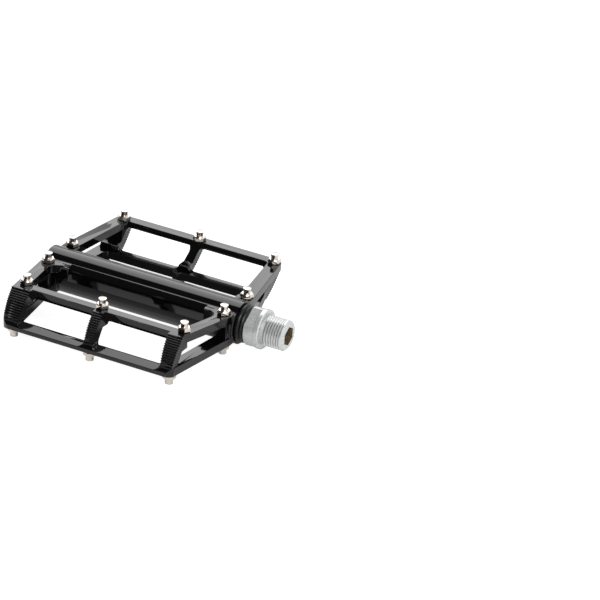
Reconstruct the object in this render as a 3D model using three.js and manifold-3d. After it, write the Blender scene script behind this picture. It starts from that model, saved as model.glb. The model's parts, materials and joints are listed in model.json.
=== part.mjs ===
// A flat bicycle pedal for the left crank, in millimetres.
// +X runs along the spindle towards the crank, +Y points to the rear row of the tread, +Z is up.
// The origin is on the spindle axis, in the middle of the pedal's overall box.
// The body repeats itself after half a turn about the spindle, so each feature of the upper face
// is made once and copied by that half turn.
import * as THREE from 'three';
import { mergeVertices } from 'three/addons/utils/BufferGeometryUtils.js';
import Module from 'manifold-3d';

const wasm = await Module();
wasm.setup();

// Driving dimensions of the body
const barrelLength = 99.6;
const barrelWall = 1.8; // round the ball bearing's seat
const bodyThickness = 15; // between the two tread faces
const bodyDepth = 106.4; // front edge of the lower face to rear edge of the upper face
const faceShift = 7; // how far the middle of the upper face's rows sits behind the spindle
const rearPinMargin = 4.2; // rear corner pins to the body's rear edge
const rowBow = 1; // how far the middle pin stands outside its row
const rowSkew = 2.5; // how far the front row sits outboard of the rear row
const rowFromOutboard = 8.85; // barrel's outboard end to the corner pins
const rowFromInboard = 11.25; // barrel's inboard end to the corner pins
const frontInboardStep = 1.2; // the front inboard pin stands this far beyond its row's even spacing
const sidePinSpacing = 20.6;
const outboardPinReach = 4.5; // end pins beyond the corner pins, outboard
const inboardPinReach = 7; // end pins beyond the corner pins, inboard

// Rails, end plates and pockets
const frontPinMargin = 4.1; // front pins to the front rail's outer face
const frontRailWidth = 4.2;
const rearRailWidth = 5.2;
const sideRailWidth = 6;
const railHeight = 4;
const frontOutboardMargin = 4.2; // corner pins to the body's side, at each corner
const frontInboardMargin = 2.8;
const rearOutboardMargin = 3.6;
const rearInboardMargin = 2.6;
const rearCornerFillet = 4;
const rearRailInnerHeight = 3.1; // the rear rail thins outward from this height to its lip
const plateInset = 0.5; // the barrel's ends stand proud of the end plates by this
const plateThickness = 8;
const webThickness = 5; // of the wider web between the side rails
const webFlare = 2.8; // how far that web reaches past the end plate on each side
const pocketFillet = 2;
const barrelPocketFillet = 4;
const crownOverlap = 0.6; // the rear pocket's cut begins this far inside the barrel's crown

// Posts, with how far each reaches either side of its pins at the upper and the lower face
const postProud = 2.1; // posts stand this far outside the front rail's face
const postDepth = 4; // thickness of a slanted post
const postBulge = 1; // how far the ribbed face bows out of its chord
const windowFillet = 2.6;
const lipHeight = 2; // upright land below the ribs
const lipSlopeDepth = 1.6;
const haunchDepth = 2.1; // webs in the windows' upper corners, behind the front rail's face
const ribCount = 14;
const ribDepth = 0.55;
const ribGapShare = 0.5; // part of each rib's pitch that is groove
const ribbedShare = 0.91; // part of the post's slope that carries ribs, from the top
const cornerPostInnerReach = { upper: 5.5, lower: 3 };
const middlePostReach = { upperOutboard: 1.9, upperInboard: 3.3, lowerOutboard: 1.8, lowerInboard: 2.2 };
const inboardPostInnerReach = { upper: 4.9, lower: 2.6 };

// The barrel's front ledge
const ledgeStep = 0.8; // the ledge and the end plates stand out past the barrel's side by this
const ledgeDepth = 5.5; // height of the ledge's upright wall
const ledgeRunOut = 4.5; // height over which that wall leans back to the barrel
const ledgeChamfer = 0.7;
const ledgeGrooveWidth = 0.6;
const ledgeGrooveDepth = 0.5;
const ledgeGrooveFromEdge = 2.2;

// Traction pins
const pinTipRadius = 1.95;
const pinTipHeight = 2.5;
const pinTipChamfer = 0.25;
const pinNeckRadius = 1.75;
const pinCollarFlats = 5.5; // across the hexagon's flats
const pinCollarHeight = 2.1;
const pinCollarChamfer = 0.45;
const pinShankRadius = 1.9;
const pinShankLength = 3.1;
const pinHoleClearance = 0.3;
const pinBossWall = 0.8;

// Spindle
const threadDiameter = 14.29; // 9/16 inch
const threadPitch = 1.27; // 20 threads per inch
const threadDepth = 0.65;
const threadReach = 11.1; // flange's crank face to the spindle's crank end
const threadReliefLength = 1.2; // least plain neck between the flange and the thread
const threadReliefStep = 0.1; // how far that neck is sunk below the thread's root
const endChamfer = 0.9;
const flangeWidth = 2.4;
const flangeChamfer = 0.5;
const flangeSeatStep = 0.25; // the crank seats on the flange from this far outside the thread's crests
const flangeSeatWidth = 1.405; // of the flat ring on the flange that the crank seats on
const flangeUndercut = 0.3; // how deep the flange's face is undercut inside that seat
const wrenchSetBack = 4.6; // barrel's inboard end to the wrench section, which the seal bridges
const wrenchRadius = 9;
const wrenchLength = 5.1;
const wrenchFlats = 15; // across the two flats
const flatTurn = 32; // degrees that the flats are turned about the spindle, as photographed
const journalRadius = 6;
const bearingJournalRadius = 4;
const bearingShoulderRadius = 5;
const bearingShoulderLength = 3;
const nutThreadRadius = 3.5;
const taperLength = 40;
const socketFlats = 8; // hexagon socket in the crank end
const socketDepth = 8;

// Bushing, seal, ball bearing and closing parts inside the barrel
const seatClearance = 0.2; // between a pressed or screwed part and its seat
const runningClearance = 0.3; // between parts that turn past each other
const faceGap = 0.1; // between end faces that turn past each other
const bushingWall = 0.7;
const bushingLength = 15;
const sealPlugStep = 0.9; // the seal's plug is this much larger in radius than the bushing
const sealPlugLength = 3;
const sealRimStep = 1.1; // its rim stands this far outside the plug
const sealRimWidth = 1.2;
const sealWaistSink = 0.9; // the waist, the lip and the mouth are this far inside the rim
const sealWaistWidth = 0.6;
const sealLipSink = 0.3;
const sealLipWidth = 1.2;
const sealMouthSink = 1.6;
const bearingRadius = 8;
const bearingWidth = 5;
const ballCount = 8;
const ballRadius = 1.15;
const ballClearance = 0.2;
const raceShoulderShare = 0.63; // how far from the balls' circle a track's shoulders stand
const cageRim = 0.3; // of the cage, either side of a ball's pocket
const cageThickness = 0.8;
const shieldWidth = 0.35;
const capStep = 0.1; // the cap is this much larger in radius than the bearing, which passes its seat
const capRimWidth = 1.2;
const capPlugStep = 0.6; // the plug behind the cap's rim is this much smaller in radius
const capPlugLength = 2.6;
const capSocketFlats = 6;
const capSocketDepth = 1.6;
const capGrooveWidth = 1.6;
const capGrooveDepth = 0.9;
const ringThickness = 1.3; // of the cap's sealing ring
const capRoom = 0.6; // between the cap and the end of the spindle
const nutFlats = 10;
const nutHeight = 3.6;
const nutThreadShow = 0.3; // thread that stands out of the lock nut
const washerThickness = 0.8;
const washerRadius = 5;

// Fineness of round shapes, and how far a cutter runs past what it cuts
const barrelSides = 48;
const boreSides = 28;
const pinSides = 12;
const ballSides = 10;
const ringSides = 6;
const trackSteps = 4;
const filletSteps = 4;
const hexagonSides = 6;
const weldDistance = 1e-4;
const overrun = 1;

// Sizes that follow from the dimensions
const halfThickness = bodyThickness / 2;
const halfDepth = bodyDepth / 2;
const barrelRadius = bearingRadius + seatClearance + barrelWall;
const ledgeReach = barrelRadius + ledgeStep;
const plateHalfWidth = ledgeReach + webFlare;
const rearPocketStart = Math.sqrt(barrelRadius ** 2 - halfThickness ** 2) - crownOverlap;
const rowSpacing = bodyDepth - 2 * (faceShift + rearPinMargin);
const skewShare = rowSkew / rowSpacing;
const pinPitch = (barrelLength - rowFromOutboard - rowFromInboard) / 2;
const pinBossRadius = pinShankRadius + pinHoleClearance + pinBossWall;
const bushingRadius = journalRadius + runningClearance + bushingWall;
const sealPlugRadius = bushingRadius + sealPlugStep;
const sealRimRadius = sealPlugRadius + sealRimStep;
const trackRadius = ballRadius + ballClearance;
const ballCircle = (bearingJournalRadius + bearingRadius) / 2;
const innerRaceRadius = ballCircle - raceShoulderShare * trackRadius;
const outerRaceBore = ballCircle + raceShoulderShare * trackRadius;
const cageWidth = 2 * (trackRadius + cageRim);
const capRadius = bearingRadius + capStep;
const capPlugRadius = capRadius - capPlugStep;
const flangeSeatRadius = threadDiameter / 2 + flangeSeatStep;
const flangeRadius = flangeSeatRadius + flangeSeatWidth + flangeChamfer;
const exposedSpindle = wrenchSetBack + wrenchLength + flangeWidth + threadReach;

// Places that follow from the dimensions
const outboardEnd = -(barrelLength + exposedSpindle) / 2;
const inboardEnd = outboardEnd + barrelLength;
const wrenchStart = inboardEnd + wrenchSetBack;
const flangeFace = wrenchStart + wrenchLength + flangeWidth;
const crankEnd = flangeFace + threadReach;
const rowCentre = outboardEnd + rowFromOutboard + pinPitch;
const frontFace = faceShift - rowSpacing / 2 - frontPinMargin;
const outboardPlate = outboardEnd + plateInset;
const inboardPlate = inboardEnd - plateInset;

const finishes = {
  anodised: { color: 0x0b0b0c, roughness: 0.22, metalness: 0.6 },
  nickel: { color: 0xd9d4cb, roughness: 0.15, metalness: 1 },
  zinc: { color: 0xc4c8c8, roughness: 0.4, metalness: 1 },
  rubber: { color: 0x0a0a0b, roughness: 0.45, metalness: 0 },
  bearingSteel: { color: 0xb8bcc0, roughness: 0.2, metalness: 1 },
  bronze: { color: 0x8f6a3c, roughness: 0.4, metalness: 1 },
  nylon: { color: 0xb98b4a, roughness: 0.6, metalness: 0 },
  blackSteel: { color: 0x2b2c2e, roughness: 0.5, metalness: 0.9 },
};

// Solids: a closed mesh becomes a solid that can be joined and cut, and goes back to a mesh
function solidOf(geometry) {
  const bare = geometry.index ? geometry.toNonIndexed() : geometry.clone();
  bare.deleteAttribute('normal');
  bare.deleteAttribute('uv');
  const welded = mergeVertices(bare, weldDistance);
  const corners = [];
  const index = welded.index.array;
  for (let i = 0; i < index.length; i += 3) {
    const [a, b, c] = [index[i], index[i + 1], index[i + 2]];
    if (a !== b && b !== c && c !== a) corners.push(a, b, c);
  }
  const places = welded.attributes.position.array;
  if (signedVolume(places, corners) < 0) corners.reverse();
  return new wasm.Manifold(new wasm.Mesh({
    numProp: 3,
    vertProperties: new Float32Array(places),
    triVerts: new Uint32Array(corners),
  }));
}

function signedVolume(places, corners) {
  const [a, b, c] = [new THREE.Vector3(), new THREE.Vector3(), new THREE.Vector3()];
  let volume = 0;
  for (let i = 0; i < corners.length; i += 3) {
    a.fromArray(places, corners[i] * 3);
    b.fromArray(places, corners[i + 1] * 3);
    c.fromArray(places, corners[i + 2] * 3);
    volume += a.dot(b.cross(c)) / 6;
  }
  return volume;
}

function geometryOf(solid) {
  const mesh = solid.getMesh();
  const geometry = new THREE.BufferGeometry();
  geometry.setAttribute('position', new THREE.BufferAttribute(new Float32Array(mesh.vertProperties), 3));
  geometry.setIndex(new THREE.BufferAttribute(new Uint32Array(mesh.triVerts), 1));
  geometry.computeVertexNormals();
  return geometry;
}

const joinAll = (solids) => solids.reduce((whole, solid) => whole.add(solid));

// A feature of the upper face together with its copy on the lower face
function twoFaced(upper) {
  return solidOf(upper).add(solidOf(upper.clone().rotateX(Math.PI)));
}

// Outlines and extrusions
function filletedShape(corners) {
  const points = [];
  corners.forEach((corner, i) => {
    const here = new THREE.Vector2(corner.x, corner.y);
    if (!corner.fillet) {
      points.push(here);
      return;
    }
    const last = corners[(i + corners.length - 1) % corners.length];
    const next = corners[(i + 1) % corners.length];
    const back = new THREE.Vector2(last.x, last.y).sub(here);
    const ahead = new THREE.Vector2(next.x, next.y).sub(here);
    const halfAngle = Math.acos(back.clone().normalize().dot(ahead.clone().normalize())) / 2;
    const reach = Math.min(corner.fillet / Math.tan(halfAngle), back.length() / 2, ahead.length() / 2);
    const radius = reach * Math.tan(halfAngle);
    const start = here.clone().add(back.setLength(reach));
    const end = here.clone().add(ahead.setLength(reach));
    const middle = start.clone().add(end).multiplyScalar(0.5).sub(here);
    const centre = here.clone().add(middle.setLength(radius / Math.sin(halfAngle)));
    const from = Math.atan2(start.y - centre.y, start.x - centre.x);
    let turn = Math.atan2(end.y - centre.y, end.x - centre.x) - from;
    turn -= 2 * Math.PI * Math.round(turn / (2 * Math.PI));
    for (let step = 0; step <= filletSteps; step += 1) {
      const angle = from + (turn * step) / filletSteps;
      const arm = new THREE.Vector2(Math.cos(angle), Math.sin(angle)).multiplyScalar(radius);
      points.push(arm.add(centre));
    }
  });
  return new THREE.Shape(points);
}

const corner = (x, y, fillet = 0) => ({ x, y, fillet });

// A plan outline in x and y, from one height to another
function plank(corners, low, high) {
  const shape = filletedShape(corners);
  return new THREE.ExtrudeGeometry(shape, { depth: high - low, bevelEnabled: false }).translate(0, 0, low);
}

// A side profile in y and z, along the spindle
function alongSpindle(corners, from, to) {
  const shape = filletedShape(corners);
  const geometry = new THREE.ExtrudeGeometry(shape, { depth: to - from, bevelEnabled: false });
  const turn = new THREE.Matrix4().makeBasis(
    new THREE.Vector3(0, 1, 0),
    new THREE.Vector3(0, 0, 1),
    new THREE.Vector3(1, 0, 0),
  );
  return geometry.applyMatrix4(turn).translate(from, 0, 0);
}

// A front outline in x and z, through the depth of the body
function throughDepth(corners, from, to) {
  const shape = filletedShape(corners);
  const geometry = new THREE.ExtrudeGeometry(shape, { depth: to - from, bevelEnabled: false });
  return geometry.rotateX(Math.PI / 2).translate(0, to, 0);
}

function box(x0, x1, y0, y1, z0, z1) {
  return new THREE.BoxGeometry(x1 - x0, y1 - y0, z1 - z0)
    .translate((x0 + x1) / 2, (y0 + y1) / 2, (z0 + z1) / 2);
}

// A round part about the spindle axis, from [place, radius] pairs in order along its outline
function turned(outline, sides = boreSides) {
  const points = outline.map(([place, radius]) => new THREE.Vector2(radius, place));
  return new THREE.LatheGeometry(points, sides).rotateZ(-Math.PI / 2);
}

const closed = (outline) => [...outline, outline[0]];

function hexagonRod(flats, from, to) {
  const radius = flats / Math.sqrt(3);
  return new THREE.CylinderGeometry(radius, radius, to - from, hexagonSides)
    .rotateZ(-Math.PI / 2)
    .translate((from + to) / 2, 0, 0);
}

// Pin places on the upper face. Both rows lean along the spindle by the skew.
function rowPin(along, side, step = 0) {
  const fromMiddle = side * (rowSpacing / 2 + (along === 0 ? rowBow : 0));
  return { x: rowCentre + along * pinPitch + skewShare * fromMiddle + step, y: faceShift + fromMiddle };
}

function endPin(x, side) {
  const y = (side * sidePinSpacing) / 2;
  return { x: x + skewShare * y, y };
}

const outboardPinLine = rowCentre - pinPitch - outboardPinReach;
const inboardPinLine = rowCentre + pinPitch + inboardPinReach;
const pinPlaces = {
  front_outboard: rowPin(-1, -1),
  front_middle: rowPin(0, -1),
  front_inboard: rowPin(1, -1, frontInboardStep),
  rear_outboard: rowPin(-1, 1),
  rear_middle: rowPin(0, 1),
  rear_inboard: rowPin(1, 1),
  end_outboard_front: endPin(outboardPinLine, -1),
  end_outboard_rear: endPin(outboardPinLine, 1),
  end_inboard_front: endPin(inboardPinLine, -1),
  end_inboard_rear: endPin(inboardPinLine, 1),
};

// The upper face's plan corners, and the x of its sides at any depth
const plan = {
  frontOutboard: corner(pinPlaces.front_outboard.x - frontOutboardMargin, frontFace),
  frontInboard: corner(pinPlaces.front_inboard.x + frontInboardMargin, frontFace),
  rearOutboard: corner(pinPlaces.rear_outboard.x - rearOutboardMargin, halfDepth, rearCornerFillet),
  rearInboard: corner(pinPlaces.rear_inboard.x + rearInboardMargin, halfDepth, rearCornerFillet),
  plateFrontOutboard: corner(outboardPlate, -ledgeReach),
  plateRearOutboard: corner(outboardPlate, ledgeReach),
  plateFrontInboard: corner(inboardPlate, -ledgeReach),
  plateRearInboard: corner(inboardPlate, ledgeReach),
};

function between(start, end, y) {
  return THREE.MathUtils.mapLinear(y, start.y, end.y, start.x, end.x);
}

function sideAt(name, y) {
  if (y < -ledgeReach) return between(plan[`plateFront${name}`], plan[`front${name}`], y);
  if (y > ledgeReach) return between(plan[`plateRear${name}`], plan[`rear${name}`], y);
  return plan[`plateFront${name}`].x;
}

// A pocket's outline between two depths: the fillets at its barrel side are the larger ones
function pocketCorners(barrelY, railY) {
  const outboard = (y) => sideAt('Outboard', y) + sideRailWidth;
  const inboard = (y) => sideAt('Inboard', y) - sideRailWidth;
  const plateY = Math.sign(railY) * ledgeReach;
  return [
    corner(outboard(railY), railY, pocketFillet),
    corner(inboard(railY), railY, pocketFillet),
    corner(inboard(plateY), barrelY, barrelPocketFillet),
    corner(outboard(plateY), barrelY, barrelPocketFillet),
  ];
}

// The rails round the upper face, as one ring with a pocket either side of the barrel
function railRing() {
  const outline = [
    plan.frontOutboard,
    plan.frontInboard,
    plan.plateFrontInboard,
    plan.plateRearInboard,
    plan.rearInboard,
    plan.rearOutboard,
    plan.plateRearOutboard,
    plan.plateFrontOutboard,
  ];
  const low = halfThickness - railHeight;
  let ring = solidOf(plank(outline, low, halfThickness));
  const frontPocket = pocketCorners(-ledgeReach, frontFace + frontRailWidth);
  const rearPocket = pocketCorners(rearPocketStart, halfDepth - rearRailWidth);
  ring = ring.subtract(solidOf(plank(frontPocket, low - overrun, halfThickness + overrun)));
  ring = ring.subtract(solidOf(plank(rearPocket, low - overrun, halfThickness + overrun)));
  const lipTop = halfThickness - lipHeight;
  const railBack = halfDepth - rearRailWidth;
  const innerUnderside = halfThickness - rearRailInnerHeight;
  const belowRail = [
    corner(halfDepth + overrun, lipTop),
    corner(halfDepth, lipTop),
    corner(railBack, innerUnderside),
    corner(railBack - overrun, innerUnderside),
    corner(railBack - overrun, low - overrun),
    corner(halfDepth + overrun, low - overrun),
  ];
  const railFrom = plan.rearOutboard.x + sideRailWidth;
  const railTo = plan.rearInboard.x - sideRailWidth;
  ring = ring.subtract(solidOf(alongSpindle(belowRail, railFrom, railTo)));
  Object.values(pinPlaces).forEach(({ x, y }) => {
    ring = ring.add(solidOf(upright(pinBossRadius, low, halfThickness).translate(x, y, 0)));
  });
  const belowLip = [
    corner(halfDepth + overrun, lipTop),
    corner(halfDepth, lipTop),
    corner(halfDepth - lipSlopeDepth, low),
    corner(halfDepth - lipSlopeDepth, low - overrun),
    corner(halfDepth + overrun, low - overrun),
  ];
  ring = ring.subtract(solidOf(alongSpindle(belowLip, outboardEnd, inboardEnd)));
  return ring;
}

// The slanted front wall: ribbed where posts stand, with a plain lip along its foot
function wallProfile() {
  const top = new THREE.Vector2(frontFace - postProud, halfThickness);
  const foot = new THREE.Vector2(-halfDepth, lipHeight - halfThickness);
  const chord = foot.clone().sub(top);
  const outward = new THREE.Vector2(chord.y, -chord.x).normalize();
  const profile = [];
  const mark = (share, sink) => {
    const bow = 4 * postBulge * share * (1 - share) - sink;
    const point = top.clone().addScaledVector(chord, share).addScaledVector(outward, bow);
    profile.push(corner(point.x, point.y));
  };
  for (let rib = 0; rib < ribCount; rib += 1) {
    const pitchShare = ribbedShare / ribCount;
    const start = rib * pitchShare;
    const end = start + pitchShare * (1 - ribGapShare);
    mark(start, 0);
    mark(end, 0);
    mark(end, ribDepth);
    mark(start + pitchShare, ribDepth);
  }
  mark(ribbedShare, 0);
  const inner = outward.clone().multiplyScalar(-postDepth);
  const innerTop = top.clone().add(inner);
  const innerFoot = foot.clone().add(inner);
  const lintel = halfThickness - railHeight;
  const haunchFoot = lintel - windowFillet;
  const haunchRun = ((haunchFoot - innerFoot.y) * chord.x) / chord.y;
  profile.push(
    corner(foot.x, foot.y),
    corner(-halfDepth, -halfThickness),
    corner(innerFoot.x, -halfThickness),
    corner(innerFoot.x, innerFoot.y),
    corner(innerFoot.x + haunchRun, haunchFoot),
    corner(frontFace + haunchDepth, haunchFoot),
    corner(frontFace + haunchDepth, lintel),
    corner(frontFace + frontRailWidth, halfThickness),
  );
  return profile;
}

// A straight edge of a post, from its place at the upper face to its place at the lower face
function slant(upperX, lowerX) {
  return (z) => THREE.MathUtils.mapLinear(z, halfThickness, -halfThickness, upperX, lowerX);
}

const postEdges = {
  outboardEnd: slant(plan.frontOutboard.x, plan.rearOutboard.x),
  outboardInner: slant(
    pinPlaces.front_outboard.x + cornerPostInnerReach.upper,
    pinPlaces.rear_outboard.x + cornerPostInnerReach.lower,
  ),
  middleOutboard: slant(
    pinPlaces.front_middle.x - middlePostReach.upperOutboard,
    pinPlaces.rear_middle.x - middlePostReach.lowerOutboard,
  ),
  middleInboard: slant(
    pinPlaces.front_middle.x + middlePostReach.upperInboard,
    pinPlaces.rear_middle.x + middlePostReach.lowerInboard,
  ),
  inboardInner: slant(
    pinPlaces.front_inboard.x - inboardPostInnerReach.upper,
    pinPlaces.rear_inboard.x - inboardPostInnerReach.lower,
  ),
  inboardEnd: slant(plan.frontInboard.x, plan.rearInboard.x),
};

function quad(leftEdge, rightEdge, low, high, fillet = 0) {
  return [
    corner(leftEdge(low), low, fillet),
    corner(rightEdge(low), low, fillet),
    corner(rightEdge(high), high, fillet),
    corner(leftEdge(high), high, fillet),
  ];
}

function frontWall() {
  const west = Math.min(plan.frontOutboard.x, plan.rearOutboard.x) - overrun;
  const east = Math.max(plan.frontInboard.x, plan.rearInboard.x) + overrun;
  const slab = solidOf(alongSpindle(wallProfile(), west, east));
  const ends = quad(postEdges.outboardEnd, postEdges.inboardEnd, -halfThickness, halfThickness);
  const lintel = halfThickness - railHeight;
  const sill = lipHeight - halfThickness;
  const footprint = [
    corner(postEdges.outboardEnd(sill), -halfDepth, rearCornerFillet),
    corner(postEdges.inboardEnd(sill), -halfDepth, rearCornerFillet),
    corner(east, frontFace),
    corner(east, 0),
    corner(west, 0),
    corner(west, frontFace),
  ];
  let wall = slab.intersect(solidOf(throughDepth(ends, -halfDepth - overrun, 0)));
  wall = wall.intersect(solidOf(plank(footprint, -halfThickness - overrun, halfThickness + overrun)));
  const bays = [
    [postEdges.outboardInner, postEdges.middleOutboard],
    [postEdges.middleInboard, postEdges.inboardInner],
  ];
  bays.forEach(([left, right]) => {
    const opening = throughDepth(quad(left, right, sill, lintel, windowFillet), -halfDepth - overrun, 0);
    const relief = quad(left, right, lintel - windowFillet, halfThickness + overrun);
    wall = wall.subtract(solidOf(opening));
    wall = wall.subtract(solidOf(throughDepth(relief, -halfDepth - overrun, frontFace)));
  });
  return wall;
}

// The barrel's front ledge, and the chamfer and fine groove that are cut along it
function ledge() {
  const wallFoot = halfThickness - ledgeDepth;
  const runOut = wallFoot - ledgeRunOut;
  const profile = [
    corner(0, halfThickness),
    corner(-ledgeReach, halfThickness),
    corner(-ledgeReach, wallFoot),
    corner(-Math.sqrt(barrelRadius ** 2 - runOut ** 2), runOut),
    corner(0, runOut),
  ];
  return alongSpindle(profile, outboardPlate + plateThickness / 2, inboardPlate - plateThickness / 2);
}

function ledgeCuts() {
  const from = outboardPlate + sideRailWidth + barrelPocketFillet;
  const to = inboardPlate - sideRailWidth - barrelPocketFillet;
  const chamfer = [
    corner(-ledgeReach - overrun, halfThickness - ledgeChamfer - overrun),
    corner(-ledgeReach + ledgeChamfer + overrun, halfThickness + overrun),
    corner(-ledgeReach - overrun, halfThickness + overrun),
  ];
  const edge = ledgeGrooveFromEdge - ledgeReach;
  const top = halfThickness + overrun;
  const groove = box(from, to, edge, edge + ledgeGrooveWidth, halfThickness - ledgeGrooveDepth, top);
  return geometryOf(solidOf(alongSpindle(chamfer, from, to)).add(solidOf(groove)));
}

// Each end plate is a full-height block with a wider web between the side rails
function endPlates() {
  const webInset = (name) => Math.min(
    Math.abs(sideAt(name, -plateHalfWidth)),
    Math.abs(sideAt(name, plateHalfWidth)),
  );
  const webHeight = halfThickness - railHeight / 2;
  const outboardWeb = -webInset('Outboard');
  const inboardWeb = webInset('Inboard');
  const blocks = [
    [outboardPlate, outboardPlate + plateThickness, ledgeReach, halfThickness],
    [inboardPlate - plateThickness, inboardPlate, ledgeReach, halfThickness],
    [outboardWeb, outboardWeb + webThickness, plateHalfWidth, webHeight],
    [inboardWeb - webThickness, inboardWeb, plateHalfWidth, webHeight],
  ];
  return joinAll(blocks.map(([from, to, depth, height]) => (
    solidOf(box(from, to, -depth, depth, -height, height))
  )));
}

// Seats along the barrel's bore, from the outboard end
const capSeat = outboardEnd + capRimWidth + capPlugLength;
const spindleTip = capSeat + capRoom;
const nutFace = spindleTip + nutThreadShow;
const washerFace = nutFace + nutHeight;
const bearingFace = washerFace + washerThickness;
const bearingBack = bearingFace + bearingWidth;
const sealFace = inboardEnd - sealPlugLength;
const bushingFace = sealFace - bushingLength;

function barrelBore() {
  const bearingSeat = bearingRadius + seatClearance;
  const bushingSeat = bushingRadius + seatClearance;
  const capSeatRadius = capRadius + seatClearance;
  const sealSeat = sealPlugRadius + seatClearance;
  const middleBore = journalRadius + runningClearance;
  return turned([
    [outboardEnd - overrun, 0],
    [outboardEnd - overrun, capSeatRadius],
    [capSeat, capSeatRadius],
    [capSeat, bearingSeat],
    [bearingBack, bearingSeat],
    [bearingBack, middleBore],
    [bushingFace, middleBore],
    [bushingFace, bushingSeat],
    [sealFace, bushingSeat],
    [sealFace, sealSeat],
    [inboardEnd + overrun, sealSeat],
    [inboardEnd + overrun, 0],
  ]);
}

function upright(radius, low, high, sides = pinSides) {
  return new THREE.CylinderGeometry(radius, radius, high - low, sides)
    .rotateX(Math.PI / 2)
    .translate(0, 0, (low + high) / 2);
}

function pedalFrame() {
  const upper = geometryOf(railRing().add(frontWall()));
  const barrel = solidOf(turned([
    [outboardEnd, 0],
    [outboardEnd, barrelRadius],
    [inboardEnd, barrelRadius],
    [inboardEnd, 0],
  ], barrelSides));
  let frame = twoFaced(upper).add(twoFaced(ledge())).add(endPlates());
  frame = frame.subtract(twoFaced(ledgeCuts()));
  frame = frame.add(barrel).subtract(solidOf(barrelBore()));
  const holeFloor = halfThickness - pinShankLength - pinHoleClearance;
  Object.values(pinPlaces).forEach(({ x, y }) => {
    const hole = upright(pinShankRadius + pinHoleClearance, holeFloor, halfThickness + overrun);
    frame = frame.subtract(twoFaced(hole.translate(x, y, 0)));
  });
  return geometryOf(frame);
}

// A traction pin, standing on the upper face at the origin
function tractionPin() {
  const collarRadius = pinCollarFlats / Math.sqrt(3);
  const collarTop = halfThickness + pinCollarHeight;
  const tip = collarTop + pinTipHeight;
  const round = new THREE.LatheGeometry([
    new THREE.Vector2(0, halfThickness - pinShankLength),
    new THREE.Vector2(pinShankRadius, halfThickness - pinShankLength),
    new THREE.Vector2(pinShankRadius, halfThickness),
    new THREE.Vector2(pinNeckRadius, collarTop),
    new THREE.Vector2(pinTipRadius, tip - pinTipChamfer),
    new THREE.Vector2(pinTipRadius - pinTipChamfer, tip),
    new THREE.Vector2(0, tip),
  ], pinSides).rotateX(Math.PI / 2);
  const hexagon = upright(collarRadius, halfThickness, collarTop, hexagonSides);
  const chamfered = new THREE.LatheGeometry([
    new THREE.Vector2(0, halfThickness),
    new THREE.Vector2(collarRadius, halfThickness),
    new THREE.Vector2(collarRadius, collarTop - pinCollarChamfer),
    new THREE.Vector2(pinCollarFlats / 2 - pinCollarChamfer, collarTop),
    new THREE.Vector2(0, collarTop),
  ], hexagonSides * 2).rotateX(Math.PI / 2);
  return geometryOf(solidOf(hexagon).intersect(solidOf(chamfered)).add(solidOf(round)));
}

// The spindle, from its outboard tip to the crank end
function spindle() {
  const threadRadius = threadDiameter / 2;
  const threadRoot = threadRadius - threadDepth;
  const threadReliefRadius = threadRoot - threadReliefStep;
  // Whole turns that fit, less the last one, which runs out into the end chamfer
  const threadTurns = Math.floor((threadReach - threadReliefLength - endChamfer) / threadPitch) - 1;
  const threadStart = crankEnd - endChamfer - threadPitch - threadTurns * threadPitch;
  const journalStart = bushingFace - taperLength;
  const outline = [
    [spindleTip, 0],
    [spindleTip, nutThreadRadius],
    [bearingFace, nutThreadRadius],
    [bearingFace, bearingJournalRadius],
    [bearingBack, bearingJournalRadius],
    [bearingBack, bearingShoulderRadius],
    [bearingBack + bearingShoulderLength, bearingShoulderRadius],
    [bearingBack + bearingShoulderLength, bearingJournalRadius + runningClearance],
    [journalStart, bearingJournalRadius + runningClearance],
    [bushingFace - overrun, journalRadius],
    [wrenchStart, journalRadius],
    [wrenchStart, wrenchRadius],
    [flangeFace - flangeWidth, wrenchRadius],
    [flangeFace - flangeWidth, flangeRadius - flangeChamfer],
    [flangeFace - flangeWidth + flangeChamfer, flangeRadius],
    [flangeFace - flangeChamfer, flangeRadius],
    [flangeFace, flangeRadius - flangeChamfer],
    [flangeFace, flangeSeatRadius],
    [flangeFace - flangeUndercut, threadReliefRadius],
    [threadStart, threadReliefRadius],
  ];
  for (let turn = 0; turn < threadTurns; turn += 1) {
    const start = threadStart + turn * threadPitch;
    outline.push([start + threadPitch / 2, threadRadius]);
    outline.push([start + threadPitch, threadRoot]);
  }
  outline.push(
    [crankEnd - endChamfer - threadPitch / 2, threadRadius],
    [crankEnd - endChamfer, threadRadius],
    [crankEnd, threadRadius - endChamfer],
    [crankEnd, 0],
  );
  let body = solidOf(turned(outline));
  body = body.subtract(solidOf(hexagonRod(socketFlats, crankEnd - socketDepth, crankEnd + overrun)));
  const cutReach = wrenchRadius + overrun;
  [-1, 1].forEach((side) => {
    const flat = box(
      wrenchStart - overrun, flangeFace - flangeWidth,
      -cutReach, cutReach,
      wrenchFlats / 2, cutReach,
    );
    body = body.subtract(solidOf(side > 0 ? flat : flat.rotateX(Math.PI)));
  });
  return geometryOf(body);
}

// Parts round the spindle
function plainBushing() {
  const bore = journalRadius + runningClearance;
  return geometryOf(solidOf(turned(closed([
    [bushingFace, bore],
    [bushingFace, bushingRadius],
    [sealFace, bushingRadius],
    [sealFace, bore],
  ]))));
}

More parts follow.
